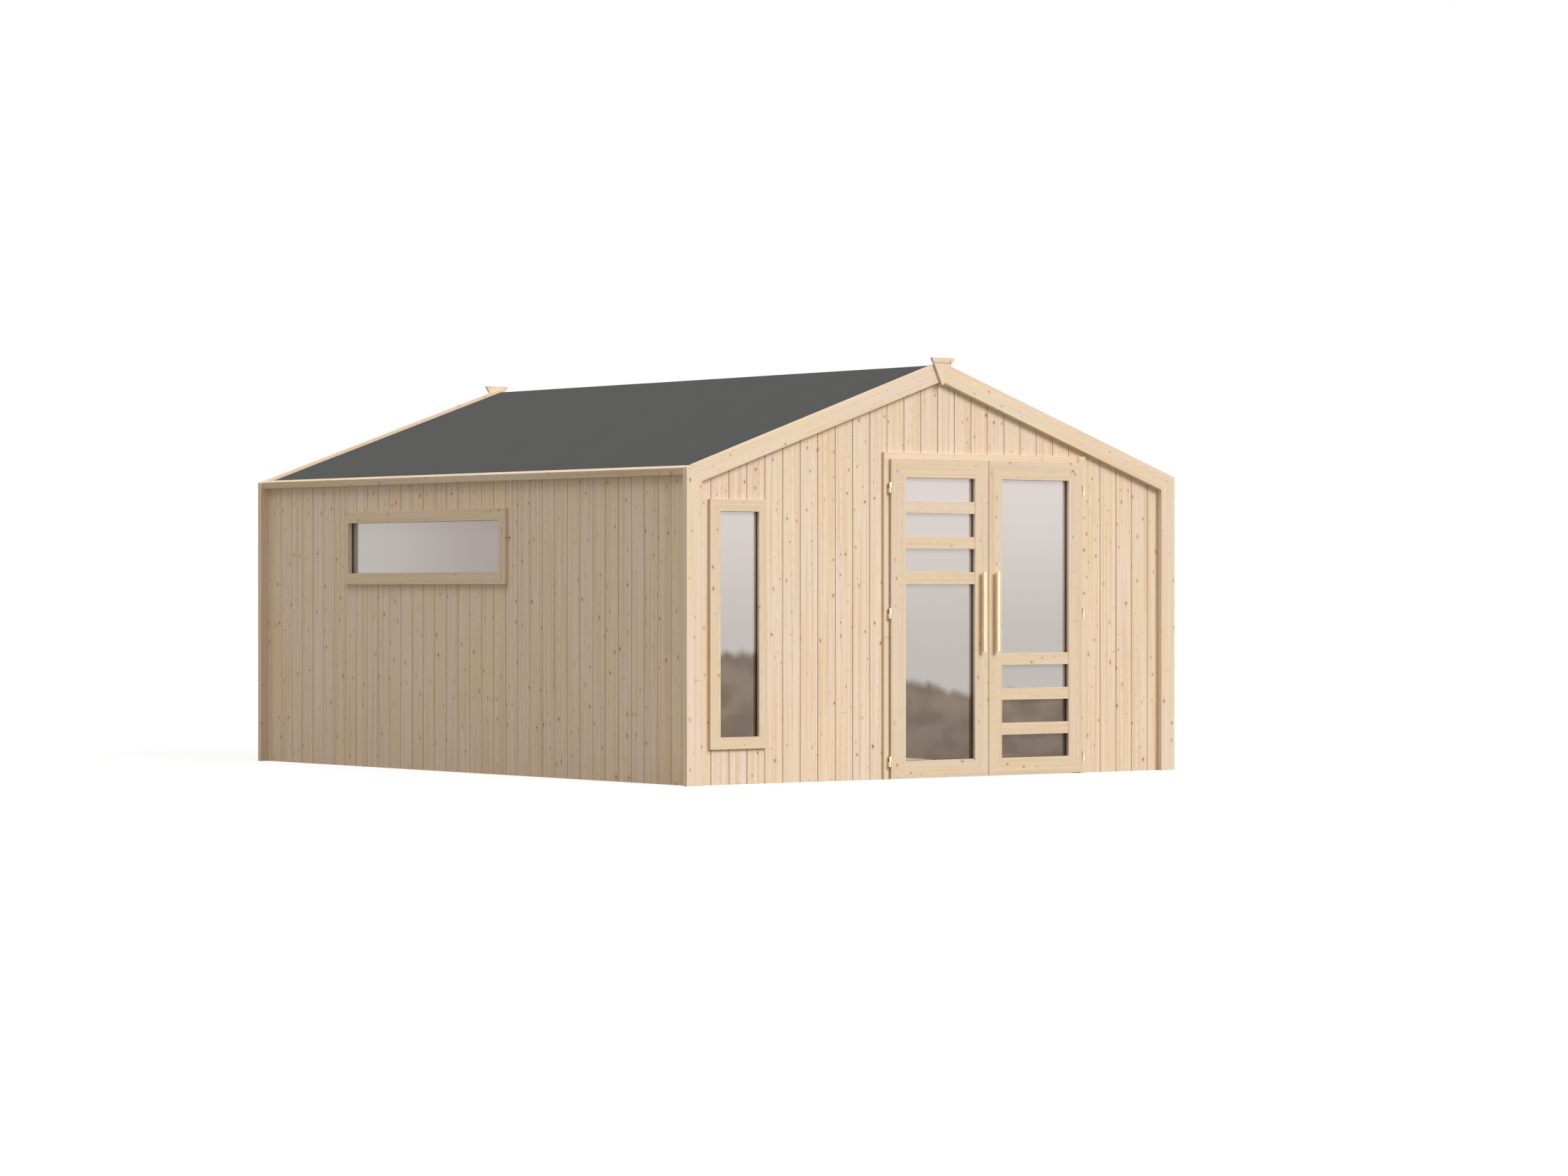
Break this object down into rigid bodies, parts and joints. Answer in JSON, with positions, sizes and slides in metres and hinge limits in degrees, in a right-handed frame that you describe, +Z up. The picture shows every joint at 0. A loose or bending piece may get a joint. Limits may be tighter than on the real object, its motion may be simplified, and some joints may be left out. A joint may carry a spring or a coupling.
{
  "type": "garden shed",
  "caption": "Timber garden shed with a gable roof, vertical boards, a glazed double door and fixed windows.",
  "frame": {"origin": "middle of the ground plane under the shed", "axes": "+Z up, the front with the double door faces -Y, +X to the right seen from the front"},
  "size_m": [4, 5.063, 2.652],
  "materials": {
    "timber": "planed bare spruce",
    "rough_timber": "sawn bare spruce",
    "felt": "mineral roofing felt, dark grey",
    "brass": "polished",
    "glass": "clear"
  },
  "bodies": {
    "shed": {"front_wall_left": "timber", "front_wall_right": "timber", "front_wall_gable": "timber", "rear_wall": "timber", "left_wall": "timber", "right_wall": "timber", "front_left_post": "timber", "front_right_post": "timber", "rear_left_post": "timber", "rear_right_post": "timber", "front_left_barge": "timber", "front_right_barge": "timber", "rear_left_barge": "timber", "rear_right_barge": "timber", "front_finial": "timber", "rear_finial": "timber", "left_eaves_batten": "timber", "right_eaves_batten": "timber", "left_roof_boards": "rough_timber", "right_roof_boards": "rough_timber", "roof_felt": "felt", "roof_beams": "rough_timber", "wall_studs": "rough_timber", "side_wall_rails": "rough_timber", "rear_wall_rails": "rough_timber", "front_wall_rails": "rough_timber", "door_jamb_left": "timber", "door_jamb_right": "timber", "door_head": "timber", "window_linings": "timber", "front_window_frame": "timber", "front_window_glass": "glass", "side_window_frame": "timber", "side_window_glass": "glass", "hinge_plates": "brass"},
    "left_door": {"left_door_frame": "timber", "left_door_bars": "timber", "left_door_glass": "glass", "left_door_handle": "brass", "left_door_hinges": "brass"},
    "right_door": {"right_door_frame": "timber", "right_door_bars": "timber", "right_door_glass": "glass", "right_door_handle": "brass", "right_door_hinges": "brass"}
  },
  "joints": [
    {"name": "left_door_hinge", "type": "hinge", "parent": "shed", "child": "left_door", "pos_m": [-0.41705, -2.4885, 1.04], "axis": [0, 0, -1], "range_deg": [0, 150]},
    {"name": "right_door_hinge", "type": "hinge", "parent": "shed", "child": "right_door", "pos_m": [1.19845, -2.4885, 1.04], "axis": [0, 0, 1], "range_deg": [0, 150]}
  ]
}
